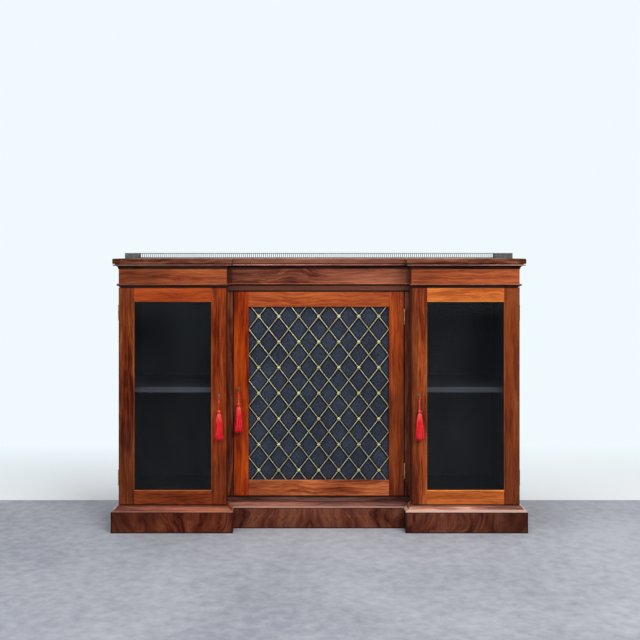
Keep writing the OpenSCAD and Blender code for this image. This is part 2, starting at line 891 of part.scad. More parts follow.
// The wing locks throw towards +x, the centre lock towards -x
module at_wing_lock() {
    translate([-wing_key_x, wing_y + door_t, wing_key_z]) mirror([1, 0, 0]) children();
}

module at_bay_lock() {
    translate([-bay_key_x, bay_y + door_t, centre_key_z]) children();
}

module left_door_lock() {
    color(steel) at_wing_lock() lock_case(wing_strike);
}

module left_door_bolt() {
    color(brass) at_wing_lock() lock_bolt(wing_strike);
}

module centre_door_lock() {
    color(steel) at_bay_lock() lock_case(bay_strike);
}

module centre_door_bolt() {
    color(brass) at_bay_lock() lock_bolt(bay_strike);
}

module left_door_key() {
    color(steel) translate([-wing_key_x, wing_y, wing_key_z]) door_key();
}

module centre_door_key() {
    color(steel) translate([-bay_key_x, bay_y, centre_key_z]) door_key();
}

module left_door_tassel() {
    color(scarlet) translate([-wing_key_x, wing_y + bow_y, wing_key_z - bow_r]) tassel();
}

module centre_door_tassel() {
    color(scarlet) translate([-bay_key_x, bay_y + bow_y, centre_key_z - bow_r]) tassel();
}

top();
gallery();
side_left();
mirror([1, 0, 0]) side_left();  // side_right
partition_left();
mirror([1, 0, 0]) partition_left();  // partition_right
back_board();
bottom_boards();
shelf_left();
shelf_centre();
mirror([1, 0, 0]) shelf_left();  // shelf_right
shelf_studs();
frieze_left();
frieze_centre();
mirror([1, 0, 0]) frieze_left();  // frieze_right
cornice_left();
cornice_centre();
mirror([1, 0, 0]) cornice_left();  // cornice_right
bead_left();
bead_centre();
mirror([1, 0, 0]) bead_left();  // bead_right
plinth_left();
plinth_centre();
mirror([1, 0, 0]) plinth_left();  // plinth_right
plinth_back();
frame_stile(true);  // frame_stile_left
mirror([1, 0, 0]) frame_stile(false);  // frame_stile_right
hinge_plates();
left_door_hinge_stile();
left_door_lock_stile();
left_door_top_rail();
left_door_bottom_rail();
left_door_glass();
left_door_hinge_leaves();
left_door_lock();
left_door_bolt();
left_door_key();
left_door_tassel();
mirror([1, 0, 0]) left_door_hinge_stile();  // right_door_hinge_stile
mirror([1, 0, 0]) left_door_lock_stile();  // right_door_lock_stile
mirror([1, 0, 0]) left_door_top_rail();  // right_door_top_rail
mirror([1, 0, 0]) left_door_bottom_rail();  // right_door_bottom_rail
mirror([1, 0, 0]) left_door_glass();  // right_door_glass
mirror([1, 0, 0]) left_door_hinge_leaves();  // right_door_hinge_leaves
mirror([1, 0, 0]) left_door_lock();  // right_door_lock
mirror([1, 0, 0]) left_door_bolt();  // right_door_bolt
mirror([1, 0, 0]) left_door_key();  // right_door_key
mirror([1, 0, 0]) left_door_tassel();  // right_door_tassel
centre_door_hinge_stile();
centre_door_lock_stile();
centre_door_top_rail();
centre_door_bottom_rail();
centre_door_grille();
centre_door_silk();
centre_door_hinge_leaves();
centre_door_lock();
centre_door_bolt();
centre_door_key();
centre_door_tassel();
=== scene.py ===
import math
import random

import bpy
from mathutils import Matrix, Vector


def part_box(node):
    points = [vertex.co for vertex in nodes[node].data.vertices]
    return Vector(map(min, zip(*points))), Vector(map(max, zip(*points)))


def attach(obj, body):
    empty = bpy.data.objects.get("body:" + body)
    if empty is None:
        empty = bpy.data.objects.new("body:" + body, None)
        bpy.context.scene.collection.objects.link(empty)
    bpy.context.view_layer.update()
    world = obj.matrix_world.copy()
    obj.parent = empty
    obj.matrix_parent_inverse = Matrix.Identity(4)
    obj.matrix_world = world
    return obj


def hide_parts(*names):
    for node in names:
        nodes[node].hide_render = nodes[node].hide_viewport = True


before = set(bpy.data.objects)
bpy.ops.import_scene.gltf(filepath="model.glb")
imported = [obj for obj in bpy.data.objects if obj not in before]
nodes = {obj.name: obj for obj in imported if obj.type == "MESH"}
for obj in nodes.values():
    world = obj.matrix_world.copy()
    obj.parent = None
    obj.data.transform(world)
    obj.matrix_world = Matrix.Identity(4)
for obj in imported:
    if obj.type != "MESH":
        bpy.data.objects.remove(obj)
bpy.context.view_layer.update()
scene = bpy.context.scene

# Camera: level, a little to the left of the cabinet's middle, with its horizon above the middle of the view
camera_data = bpy.data.cameras.new("camera")
camera_data.lens = 50
camera_data.sensor_width = 36
camera_data.shift_x = 0.0364
camera_data.shift_y = -0.1047
camera = bpy.data.objects.new("camera", camera_data)
camera.location = (-0.084, -3.505, 1.041)
camera.rotation_euler = (math.radians(90), 0, 0)
scene.collection.objects.link(camera)
scene.camera = camera


# Material graphs
class Graph:
    """A node material with a Principled shader, and short calls that add nodes to it."""

    def __init__(self, name):
        self.mat = bpy.data.materials.new(name)
        self.mat.use_nodes = True
        self.tree = self.mat.node_tree
        self.tree.nodes.clear()
        self.out = self.tree.nodes.new("ShaderNodeOutputMaterial")
        self.bsdf = self.tree.nodes.new("ShaderNodeBsdfPrincipled")
        self.join(self.bsdf.outputs[0], self.out.inputs["Surface"])
        coord = self.tree.nodes.new("ShaderNodeTexCoord")
        self.place = coord.outputs["Object"]
        self.normal = coord.outputs["Normal"]
        self.share = coord.outputs["Generated"]

    def join(self, a, b):
        self.tree.links.new(a, b)

    def put(self, socket, value):
        """Links a socket to another, or gives it a value."""
        if isinstance(value, bpy.types.NodeSocket):
            self.join(value, socket)
        else:
            socket.default_value = value

    def set(self, name, value):
        """Sets an input of the shader by its name."""
        if isinstance(value, tuple) and len(value) == 3:
            value = (*value, 1)
        self.put(self.bsdf.inputs[name], value)

    def math(self, op, a, b=0.0, c=0.0):
        n = self.tree.nodes.new("ShaderNodeMath")
        n.operation = op
        for socket, value in zip(n.inputs, (a, b, c)):
            self.put(socket, value)
        return n.outputs[0]

    def total(self, *parts):
        """The sum of several values, each times its weight."""
        found = None
        for value, weight in parts:
            part = self.math("MULTIPLY", value, weight)
            found = self.math("ADD", found, part) if found else part
        return found

    def split(self, vector):
        n = self.tree.nodes.new("ShaderNodeSeparateXYZ")
        self.join(vector, n.inputs[0])
        return n.outputs

    def merge(self, x, y, z):
        n = self.tree.nodes.new("ShaderNodeCombineXYZ")
        for socket, value in zip(n.inputs, (x, y, z)):
            self.put(socket, value)
        return n.outputs[0]

    def grey(self, value):
        return self.merge(value, value, value)

    def noise(self, xyz, scales, detail=2.0, rough=0.5, distort=0.0, shift=(0, 0, 0)):
        """Noise with a scale and a shift of its own along each axis."""
        n = self.tree.nodes.new("ShaderNodeTexNoise")
        place = [self.math("MULTIPLY_ADD", *row) for row in zip(xyz, scales, shift)]
        self.join(self.merge(*place), n.inputs["Vector"])
        n.inputs["Scale"].default_value = 1.0
        n.inputs["Detail"].default_value = detail
        n.inputs["Roughness"].default_value = rough
        n.inputs["Distortion"].default_value = distort
        return n.outputs["Fac"]

    def ramp(self, fac, stops):
        """A band of colours or greys, from a list of (position, colour or grey)."""
        n = self.tree.nodes.new("ShaderNodeValToRGB")
        self.join(fac, n.inputs[0])
        band = n.color_ramp
        while len(band.elements) < len(stops):
            band.elements.new(0.5)
        for element, (spot, shade) in zip(band.elements, stops):
            element.position = spot
            element.color = (*shade, 1) if isinstance(shade, tuple) else (shade, shade, shade, 1)
        return n.outputs[0]

    def mix(self, fac, a, b, mode="MIX"):
        n = self.tree.nodes.new("ShaderNodeMix")
        n.data_type = "RGBA"
        n.blend_type = mode
        self.put(n.inputs[0], fac)
        for socket, value in ((n.inputs[6], a), (n.inputs[7], b)):
            self.put(socket, (*value, 1) if isinstance(value, tuple) else value)
        return n.outputs[2]

    def span(self, value, low, high, to_low, to_high):
        """Maps a value from one range to another, and holds it within the second."""
        n = self.tree.nodes.new("ShaderNodeMapRange")
        for socket, v in zip(n.inputs, (value, low, high, to_low, to_high)):
            self.put(socket, v)
        return n.outputs[0]

    def bump(self, height, strength, distance):
        n = self.tree.nodes.new("ShaderNodeBump")
        n.inputs["Strength"].default_value = strength
        n.inputs["Distance"].default_value = distance
        self.join(height, n.inputs["Height"])
        self.join(n.outputs[0], self.bsdf.inputs["Normal"])


def tone(colour, factor, warm=1.0):
    """A colour made lighter or darker, with its green and blue changed by warm as well."""
    return (colour[0] * factor, colour[1] * factor * warm, colour[2] * factor * warm)


LINING = (0.006, 0.0078, 0.0112)
DARK_EDGE = (0.010, 0.005, 0.004)

# The layers of the rosewood: scale along the grain, scale across it, detail, roughness and distortion
LAYERS = {
    "bend": (2.2, 5.0, 2.0, 0.5, 0.0),
    "swirl": (8.0, 8.0, 1.5, 0.4, 0.0),
    "grain": (2.4, 66.0, 5.0, 0.62, 0.35),
    "broad": (3.0, 13.0, 2.0, 0.5, 0.0),
    "fleck": (15.0, 150.0, 3.0, 0.6, 0.5),
    "vein": (1.4, 30.0, 3.0, 0.6, 0.9),
    "fine": (14.0, 520.0, 1.5, 0.5, 0.0),
    "pore": (38.0, 900.0, 1.0, 0.5, 0.0),
}
SEED_STEP = (3.7, 5.3, 1.9)
BEND_DEPTH = 0.05
VEIN_SHIFT = 9
FLAT_ON = 0.95


def wood(name, mean, along="z", seed=0.0, strength=1.0, figure=0.0, streaks=0.5, coarse=1.0,
         match=None, lining_from=None, edges=(), gloss=0.08):
    """Polished rosewood of a mean colour.

    along is the grain's axis, strength is how strongly it is marked, figure is how far it swirls,
    streaks is how dark its veins are, and coarse widens it. match is the x of a joint whose two
    sides mirror each other. Behind the y of lining_from the wood is painted.
    Each of edges is an axis, a place, a half width, a colour and its share: a line across that axis,
    drawn on the faces that run along it.
    """
    g = Graph(name)
    x, y, z = g.split(g.place)
    spots = {"x": x, "y": y, "z": z}
    if match is not None:
        x = g.math("ABSOLUTE", g.math("SUBTRACT", x, match))
    run, across, deep = {"z": (z, x, y), "x": (x, z, y)}[along]
    shift = [seed * step for step in SEED_STEP]

    def layer(kind, widen=1.0, ahead=0):
        length, width, detail, rough, distort = LAYERS[kind]
        scales = (length, width / widen, width / widen)
        return g.noise((run, across, deep), scales, detail, rough, distort, (shift[0] + ahead, *shift[1:]))

    bend = g.math("MULTIPLY", g.math("SUBTRACT", layer("bend"), 0.5), BEND_DEPTH)
    if figure:
        turn = g.math("SUBTRACT", layer("swirl"), 0.5)
        bend = g.math("ADD", bend, g.math("MULTIPLY", turn, figure))
    across = g.math("ADD", across, bend)
    deep = g.math("ADD", deep, g.math("MULTIPLY", bend, 0.6))

    grain = layer("grain", coarse)
    body = g.total((grain, 0.38), (layer("broad"), 0.36), (layer("fleck", coarse), 0.26))
    colour = g.ramp(body, [
        (0.42, tone(mean, 0.36 ** strength, 0.62 ** strength)),
        (0.48, tone(mean, 0.86 ** strength, 0.86 ** strength)),
        (0.525, tone(mean, 1.18 ** strength)),
        (0.58, tone(mean, 1.70 ** strength, 1.18 ** strength)),
    ])
    vein = g.ramp(layer("vein", ahead=VEIN_SHIFT), [(0.57, 0.0), (0.66, 1.0)])
    vein = g.math("MULTIPLY", vein, min(0.9, streaks * strength))
    colour = g.mix(vein, colour, tone(mean, 0.30, 0.7))
    colour = g.mix(0.30, colour, g.ramp(layer("fine"), [(0.36, 0.35), (0.62, 1.15)]), "MULTIPLY")
    pits = g.ramp(layer("pore"), [(0.60, 1.0), (0.70, 0.45)])
    colour = g.mix(0.55, colour, pits, "MULTIPLY")

    facing = dict(zip("xyz", g.split(g.normal)))
    for axis, place, reach, shade, share in edges:
        off = g.math("ABSOLUTE", g.math("SUBTRACT", spots[axis], place))
        crossing = g.math("LESS_THAN", g.math("ABSOLUTE", facing[axis]), FLAT_ON)
        line = g.math("MULTIPLY", crossing, g.span(off, 0.6 * reach, reach, share, 0.0))
        colour = g.mix(line, colour, shade)
    if lining_from is not None:
        inside = g.math("GREATER_THAN", spots["y"], lining_from)
        colour = g.mix(inside, colour, LINING)

    g.set("Base Color", colour)
    g.set("Roughness", g.span(body, 0.40, 0.60, 0.42, 0.26))
    g.set("Specular IOR Level", 0.5 * gloss)
    g.set("Coat Weight", gloss)
    g.set("Coat Roughness", 0.10)
    g.bump(g.total((grain, 0.5), (pits, 0.5)), 0.10, 0.0004)
    return g.mat


def paint(name, colour, rough=0.6):
    """A dark satin finish with faint brushing and dust."""
    g = Graph(name)
    xyz = g.split(g.place)
    cloud = g.noise(xyz, (4, 4, 4), 4.0, 0.6)
    brush = g.noise(xyz, (6, 160, 160))
    both = g.total((cloud, 0.6), (brush, 0.4))
    g.set("Base Color", g.ramp(both, [(0.35, tone(colour, 0.7)), (0.65, tone(colour, 1.3))]))
    g.set("Roughness", g.span(cloud, 0.3, 0.7, rough - 0.08, rough + 0.08))
    g.set("Specular IOR Level", 0.3)
    g.bump(brush, 0.08, 0.0004)
    return g.mat


def metal(name, colour, rough=0.3, tarnish=0.45, scale=60.0):
    """Aged metal: clouds of tarnish, fine scratches and worn spots."""
    g = Graph(name)
    xyz = g.split(g.place)
    cloud = g.noise(xyz, (scale, scale, scale), 4.0, 0.65)
    scratch = g.noise(xyz, (scale * 14, scale * 3, scale * 14))
    wear_and_highlight = g.ramp(cloud, [(0.4, 0.0), (0.6, 1.0)])
    g.set("Base Color", g.mix(wear_and_highlight, tone(colour, tarnish, 0.92), colour))
    g.set("Metallic", 1.0)
    g.set("Roughness", g.span(cloud, 0.3, 0.7, rough + 0.14, rough - 0.06))
    g.bump(scratch, 0.10, 0.0002)
    return g.mat


# Twill: the pace of its ribs and threads, and the painted shadow beside each strip of the grille, which
# fades between two distances from the strip's middle and lies a little below it
RIB_PACE = 1900.0
THREAD_PACE = 2600.0
STRIP_SHADOW = (0.0048, 0.0085)
STRIP_SHADOW_DROP = 0.0012


def cloth(name, colour, middle, pitch_x, pitch_z):
    """Dark twill: slanting ribs crossed by fine threads, with a painted shadow beside the strips of the
    grille on its front.
    """
    g = Graph(name)
    x, y, z = g.split(g.place)
    rib = g.math("SINE", g.math("MULTIPLY", g.math("ADD", x, z), RIB_PACE))
    thread = g.math("SINE", g.math("MULTIPLY", g.math("SUBTRACT", x, z), THREAD_PACE))
    weave = g.total((rib, 0.65), (thread, 0.35))
    cloud = g.noise((x, y, z), (7, 7, 7), 3.0, 0.6)
    lint = g.noise((x, y, z), (300, 300, 170), 3.0, 0.7)
    base = g.ramp(cloud, [(0.35, tone(colour, 0.72)), (0.65, tone(colour, 1.28))])
    base = g.mix(0.8, base, g.ramp(lint, [(0.38, 0.35), (0.62, 1.6)]), "MULTIPLY")
    base = g.mix(0.8, base, g.grey(g.span(weave, -1.0, 1.0, 0.62, 1.2)), "MULTIPLY")
    spot_x = g.math("DIVIDE", g.math("SUBTRACT", x, middle.x), pitch_x)
    spot_z = g.math("DIVIDE", g.math("SUBTRACT", z, middle.z - STRIP_SHADOW_DROP), pitch_z)
    reach = pitch_x * pitch_z / math.hypot(pitch_x, pitch_z)
    front = g.math("LESS_THAN", g.split(g.normal)[1], 0.0)
    for way in ("ADD", "SUBTRACT"):
        off = g.math("MULTIPLY", g.math("PINGPONG", g.math(way, spot_x, spot_z), 0.5), reach)
        base = g.mix(front, base, g.grey(g.span(off, *STRIP_SHADOW, 0.05, 1.0)), "MULTIPLY")
    g.set("Base Color", base)
    g.set("Roughness", 0.85)
    g.set("Specular IOR Level", 0.25)
    g.set("Sheen Weight", 0.05)
    g.set("Sheen Roughness", 0.4)
    g.bump(weave, 0.35, 0.0004)
    return g.mat


def silk_thread(name, colour, turns=0.0, shoulder_highlight=None):
    """Silk threads: strands and folds of several shades, with a soft sheen along them.

    turns is the pace of a winding round them. The colour given for a tassel's shoulder is a painted
    highlight there, and below it the colour falls off to a darker foot as painted shade.
    """
    g = Graph(name)
    x, y, z = g.split(g.place)
    strand = g.noise((x, y, z), (1500, 1500, 30))
    cloud = g.noise((x, y, z), (120, 120, 60))
    fold = g.noise((x, y, z), (360, 360, 12))
    shown = g.ramp(g.total((strand, 0.35), (cloud, 0.2), (fold, 0.45)), [
        (0.40, tone(colour, 0.55, 0.6)),
        (0.50, colour),
        (0.61, tone(colour, 1.3, 4.0)),
    ])
    if shoulder_highlight:
        height = g.split(g.share)[2]
        shown = g.mix(1.0, shown, g.grey(g.span(height, 0.0, 0.5, 0.84, 1.0)), "MULTIPLY")
        shown = g.mix(g.span(height, 0.62, 0.95, 0.0, 0.65), shown, shoulder_highlight)
    g.set("Base Color", shown)
    g.set("Roughness", 0.50)
    g.set("Specular IOR Level", 0.15)
    g.set("Sheen Weight", 0.06)
    g.set("Sheen Roughness", 0.35)
    g.set("Sheen Tint", (1.0, 0.15, 0.15))
    relief = strand
    if turns:
        relief = g.math("SINE", g.math("MULTIPLY", g.math("ADD", g.math("ADD", x, y), z), turns))
    g.bump(relief, 0.5, 0.0003)
    return g.mat


def window_glass(name):
    """Old clear glass: thin, slightly wavy and with a faint cool tint."""
    g = Graph(name)
    xyz = g.split(g.place)
    wave = g.noise(xyz, (5, 5, 9))
    smear = g.noise(xyz, (9, 9, 3), 3.0, 0.6)
    g.set("Base Color", g.ramp(smear, [(0.4, (0.010, 0.013, 0.016)), (0.75, (0.05, 0.06, 0.07))]))
    g.set("Roughness", g.span(smear, 0.3, 0.8, 0.02, 0.10))
    g.set("IOR", 1.6)
    g.set("Alpha", 0.085)
    g.bump(wave, 0.06, 0.002)
    return g.mat


# Tones of the rosewood. A board takes one of them times its lightness.
FIERY = (1.0, 0.12, 0.01)
EMBER = (1.0, 0.165, 0.03)
RUSSET = (1.0, 0.20, 0.05)
AMBER = (1.0, 0.26, 0.05)
TAWNY = (1.0, 0.24, 0.075)
UMBER = (1.0, 0.23, 0.10)
SMOKY = (1.0, 0.285, 0.15)
DUSKY = (1.0, 0.33, 0.17)

# Boards: the grain's axis, a tone, its lightness and how strongly the grain is marked
# Each lightness holds the board's own tone and also painted light: where more light falls on the cabinet,
# its boards are made lighter.
BOARDS = {
    "left_door_hinge_stile": ("z", RUSSET, 0.17, 1.2),
    "left_door_lock_stile": ("z", EMBER, 0.265, 1.0),
    "left_door_top_rail": ("x", EMBER, 0.42, 0.35),
    "left_door_bottom_rail": ("x", RUSSET, 0.22, 0.9),
    "right_door_hinge_stile": ("z", RUSSET, 0.20, 0.6),
    "right_door_lock_stile": ("z", RUSSET, 0.30, 0.9),
    "right_door_top_rail": ("x", AMBER, 0.65, 0.4),
    "right_door_bottom_rail": ("x", AMBER, 0.55, 0.45),
    "centre_door_hinge_stile": ("z", EMBER, 0.31, 0.9),
    "centre_door_lock_stile": ("z", FIERY, 0.34, 0.9),
    "centre_door_top_rail": ("x", RUSSET, 0.37, 0.7),
    "centre_door_bottom_rail": ("x", TAWNY, 0.35, 1.0),
    "frieze_left": ("x", TAWNY, 0.36, 0.65),
    "frieze_centre": ("x", SMOKY, 0.237, 1.1),
    "frieze_right": ("x", TAWNY, 0.42, 0.5),
    "frame_stile_left": ("z", UMBER, 0.15, 1.3),
    "frame_stile_right": ("z", SMOKY, 0.145, 1.1),
    "top": ("x", DUSKY, 0.185, 1.1),
    "plinth_back": ("x", SMOKY, 0.13, 1.0),
}
# How far the figure of some boards swirls; the rest are plain
SWIRLS = {"rail": 0.025, "frieze_left": 0.02, "frieze_centre": 0.05, "frieze_right": 0.02, "top": 0.03}
# A board's seed is its number from the first, unless it has one here
FIRST_SEED = 1.3
SEEDS = {"frieze_centre": 21.3}

# The painted shade in the gap round a door or side: half its width, and its share
OUTLINE_HALF = 0.0030
OUTLINE_SHARE = 0.92


def outline(*names):
    """Dark lines of painted shade round the nodes that are named, seen from the front."""
    boxes = [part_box(name) for name in names]
    low_x = min(box[0].x for box in boxes)
    low_z = min(box[0].z for box in boxes)
    high_x = max(box[1].x for box in boxes)
    high_z = max(box[1].z for box in boxes)
    return [(axis, place, OUTLINE_HALF, DARK_EDGE, OUTLINE_SHARE)
            for axis, place in (("x", low_x), ("x", high_x), ("z", low_z), ("z", high_z))]


def by_face(node, materials, pick):
    """Gives each face of a node one of several materials, by the number that pick returns for it."""
    mesh = nodes[node].data
    mesh.materials.clear()
    for made in materials:
        mesh.materials.append(made)
    for face in mesh.polygons:
        face.material_index = pick(face)


# Lines and patches on the boards, by a board's name or the first word of it: painted shade in the gaps
# round the doors, under the bead and on the bay's strip below it, and painted light and shade along the top
# and the bay's frieze. Each is one of the edges that wood takes.
bead_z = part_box("bead_centre")[0].z
bay_low, bay_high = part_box("frieze_centre")
EDGES = {
    side: outline(side + "_door_hinge_stile", side + "_door_lock_stile")
    for side in ("left", "centre", "right")
}
EDGES["frame"] = EDGES["centre"]
EDGES["frieze"] = [("z", bead_z - 0.002, 0.004, DARK_EDGE, 0.9)]
EDGES["frieze_centre"] = [
    ("x", bay_high.x, 0.40, (0.42, 0.14, 0.07), 0.3),
    ("z", (bay_low.z + bead_z) / 2, 0.013, (0.105, 0.038, 0.024), 0.8),
    ("z", bead_z, 0.002, DARK_EDGE, 0.8),
    ("z", bay_low.z, 0.0024, DARK_EDGE, 0.9),
]
EDGES["top"] = [
    ("x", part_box("top")[0].x, 0.65, (0.08, 0.025, 0.012), 0.3),
    ("x", 0.0, 0.42, (0.30, 0.12, 0.08), 0.45),
]

# Painted shade on boards that darken towards an end: the feet of the door stiles, the ends farther from the
# light and the inner corners of the bay. Each is the axis, its low end (0) or high end (1), the reach and
# the share
PAINTED_SHADE = (0.045, 0.012, 0.005)
JOINT_HALF = 0.0018
JOINT_SHARE = 0.6
SHADES = {
    "left_door_hinge_stile": [("z", 0, 0.35, 0.45)],
    "left_door_lock_stile": [("z", 0, 0.24, 0.45)],
    "centre_door_hinge_stile": [("z", 0, 0.58, 0.5)],
    "right_door_hinge_stile": [("z", 0, 0.25, 0.3)],
    "right_door_lock_stile": [("x", 0, 0.03, 0.45)],
    "frieze_left": [("x", 0, 0.22, 0.4)],
    "frieze_centre": [("x", 0, 0.35, 0.35), ("x", 0, 0.022, 0.8), ("x", 1, 0.016, 0.75)],
    "frieze_right": [("x", 0, 0.12, 0.3)],
    "top": [("x", 0, 0.035, 0.7), ("x", 1, 0.035, 0.7)],
    "plinth_left": [("x", 0, 0.20, 0.4)],
    "plinth_centre": [("x", 0, 0.10, 0.35)],
    "plinth_right": [("x", 1, 0.16, 0.55)],
}


def shades(name):
    """The painted shade where a board darkens towards an end, and the dark joints at both ends of a rail.
    """
    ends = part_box(name)
    found = [(axis, ends[end]["xyz".index(axis)], reach, PAINTED_SHADE, share)
             for axis, end, reach, share in SHADES.get(name, ())]
    if name.endswith("_rail"):
        found += [("x", end.x, JOINT_HALF, DARK_EDGE, JOINT_SHARE) for end in ends]
    return found


def is_slope(face):
    """The sloping faces between a board's front and its back or ends."""
    return -0.95 < face.normal.y < -0.2


for number, (name, (along, hue, light, strength)) in enumerate(BOARDS.items()):
    mean = tone(hue, light)
    seed = SEEDS.get(name, FIRST_SEED + number)
    words = name.split("_")
    swirl = SWIRLS.get(name, SWIRLS.get(words[-1], 0.0))
    edges = EDGES.get(name, EDGES.get(words[0], ()))
    made = wood("wood_" + name, mean, along, seed, strength, figure=swirl,
                streaks=0.35 if along == "x" else 0.6, edges=[*shades(name), *edges],
                gloss=0.03 if name == "top" else 0.08)
    # The bevels of the wing doors' stiles and rails take a lighter copy of the wood: a painted highlight
    # where their arrises catch the light.
    if name.startswith(("left_door", "right_door")):
        wear_and_highlight = wood("lit_bevel_" + name, tone(mean, 1.8, 1.5), along, seed, 0.4, figure=swirl, streaks=0.1)
        by_face(name, (made, wear_and_highlight), is_slope)
    else:
        by_face(name, (made,), lambda face: 0)

# Mouldings: painted light and shade. The upper faces that catch the light take a lit copy of the wood as a
# painted highlight, and the hollows below a dark copy as painted shade. The cornice's fillet lies between
# two heights.
LIT_BAND = (0.9935, 0.9975)


def is_lit_fillet(face):
    """The long fillet of the cornice that catches the light."""
    return LIT_BAND[0] < face.center.z < LIT_BAND[1] and face.normal.z > -0.3 and abs(face.normal.x) < 0.5


shaded_wood = wood("wood_cornice", (0.050, 0.015, 0.008), "x", 71.0, streaks=0.4)
lit_wood = wood("wood_lit_cornice", (0.30, 0.13, 0.085), "x", 74.0, 0.8, streaks=0.4, gloss=0.4)
lit_bay_wood = wood("wood_lit_bay_cornice", (0.50, 0.21, 0.15), "x", 76.0, 0.8, streaks=0.4, gloss=0.4)
for part, lit in (("left", lit_wood), ("centre", lit_bay_wood), ("right", lit_wood)):
    by_face("cornice_" + part, (shaded_wood, lit), is_lit_fillet)
shaded_wood = wood("wood_bead", (0.045, 0.013, 0.008), "x", 72.0, streaks=0.4)
for part, light in (("left", 0.31), ("centre", 0.55), ("right", 0.29)):
    lit_wood = wood("wood_lit_bead_" + part, tone(TAWNY, light), "x", 75.0, 0.8, streaks=0.4, gloss=0.3)
    by_face("bead_" + part, (shaded_wood, lit_wood), lambda face: face.normal.z > 0.3)

# The plinth: figured veneer under a moulded slope, which is a lighter copy of the wood as painted light,
# with a painted highlight along the slope's foot and lines of painted shade along its other arrises. Each
# length has a tone, its lightness, the x of a matched joint, the slope's colour, and the share and reach of
# the painted highlight at its foot.
PLINTHS = {
    "plinth_left": (UMBER, 0.13, None, (0.24, 0.060, 0.026), 0.15, 0.0024),
    "plinth_centre": (SMOKY, 0.12, -0.035, (0.20, 0.060, 0.034), 0.45, 0.0024),
    "plinth_right": (SMOKY, 0.125, None, (0.42, 0.18, 0.11), 0.85, 0.0048),
}
SLOPE_H = 0.017
ARRIS_HIGHLIGHT = (0.60, 0.42, 0.36)
slope_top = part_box("plinth_left")[1].z
slope_foot = slope_top - SLOPE_H


def plinth_part(face):
    """0 for the veneer, 1 for the slope, lighter as painted light, 2 for the shaded return of the
    right-hand length, as painted shade.
    """
    if face.normal.z > 0.15:
        return 1
    return 2 if face.normal.x < -0.5 and face.center.x > 0 else 0


for number, (name, (hue, light, match, lit_slope_colour, wear_and_highlight, reach)) in enumerate(PLINTHS.items()):
    low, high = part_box(name)
    # Lines of painted shade: under the slope's foot, along the floor and at both ends; on the slope, one
    # under the doors.
    dark = [
        ("z", slope_foot - 0.0012, 0.0040, DARK_EDGE, 0.85),
        ("z", 0.0, 0.005, DARK_EDGE, 0.8),
        ("x", low.x, 0.007, DARK_EDGE, 0.7),
        ("x", high.x, 0.007, DARK_EDGE, 0.7),
    ]
    made = wood("wood_" + name, tone(hue, light), "z", 31.0 + 2 * number, 0.9, figure=0.16, streaks=0.7,
                coarse=2.6, match=match, edges=[*shades(name), *dark])
    slope = wood("wood_lit_slope_" + name, lit_slope_colour, "x", 77.0 + number, figure=0.02, streaks=0.35, gloss=0.2,
                 edges=[("z", slope_top, 0.0035, DARK_EDGE, 0.9),
                        ("z", slope_foot, reach, ARRIS_HIGHLIGHT, wear_and_highlight)])
    shaded = wood("wood_shaded_" + name, tone(hue, 0.25 * light), "z", 35.0 + number)
    by_face(name, (made, slope, shaded), plinth_part)

# The case: polished outside, and painted inside behind a certain y. The bay lies behind BAY_FROM.
SIDE_PAINT_FROM = -0.15
PARTITION_PAINT_FROM = -0.088
BAY_FROM = -0.13
lining = paint("lining", LINING)
shelf_paint = paint("shelf_paint", (0.019, 0.021, 0.025), 0.5)
shelf_edge = paint("shelf_edge", (0.050, 0.058, 0.070), 0.4)
back_wood = wood("wood_back", (0.20, 0.105, 0.055), "z", 51.0, 0.6, figure=0.02, streaks=0.12)
for side, sign in (("left", -1), ("right", 1)):
    case = wood("wood_side_" + side, tone(RUSSET, 0.24), "z", 41.0 + sign, 0.9, figure=0.10, streaks=0.6,
                edges=outline("side_" + side)[:2])
    by_face("side_" + side, (case, lining),
            lambda face, sign=sign: sign * face.normal.x < -0.5 and face.center.y > SIDE_PAINT_FROM)
    inner = wood("wood_partition_" + side, (0.070, 0.020, 0.011), "z", 45.0 + sign, 0.8,
                 lining_from=PARTITION_PAINT_FROM)
    by_face("partition_" + side, (inner, lining), lambda face, sign=sign: sign * face.normal.x > 0.5)
by_face("back_board", (back_wood, lining), lambda face: face.normal.y < -0.5)
# A line of painted shade runs along the bay's bottom edge, under the centre door.
bay_door_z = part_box("centre_door_lock_stile")[0].z
edge_wood = wood("wood_bay_edge", (0.115, 0.045, 0.035), "x", 55.0, 0.9, figure=0.02,
                 edges=[("z", bay_door_z - 0.001, 0.004, DARK_EDGE, 0.95)])
by_face("bottom_boards", (lining, edge_wood),
        lambda face: face.normal.y < -0.5 and face.center.y > BAY_FROM)
for name in ("shelf_left", "shelf_centre", "shelf_right"):
    by_face(name, (shelf_paint, shelf_edge), lambda face: face.normal.y < -0.3)

# Metal and glass, by the ending of a node's name
brass = metal("brass", (0.62, 0.47, 0.22), 0.28)
hinge_brass = metal("hinge_brass", (0.58, 0.40, 0.14), 0.40, 0.5, 50.0)
pale_brass = metal("pale_brass", (0.60, 0.56, 0.31), 0.34, 0.72, 40.0)
dull_brass = metal("dull_brass", (0.47, 0.47, 0.34), 0.38, 0.72, 40.0)
dark_steel = metal("dark_steel", (0.25, 0.23, 0.21), 0.24, 0.4, 120.0)
FINISHES = {
    "gallery": metal("gallery_brass", (0.17, 0.18, 0.17), 0.40, 0.6, 30.0),
    # The grille's flat strips and rosettes are near black: painted shadow beside the reeds and round the
    # domes laid over them.
    "centre_door_grille": metal("shaded_brass", (0.055, 0.05, 0.035), 0.50, 0.6, 40.0),
    "hinge_plates": hinge_brass,
    "hinge_leaves": hinge_brass,
    "shelf_studs": brass,
    "_bolt": brass,
    "_glass": window_glass("old_glass"),
    "_lock": metal("lock_steel", (0.34, 0.33, 0.31), 0.38, 0.6, 50.0),
    "_key": dark_steel,
}
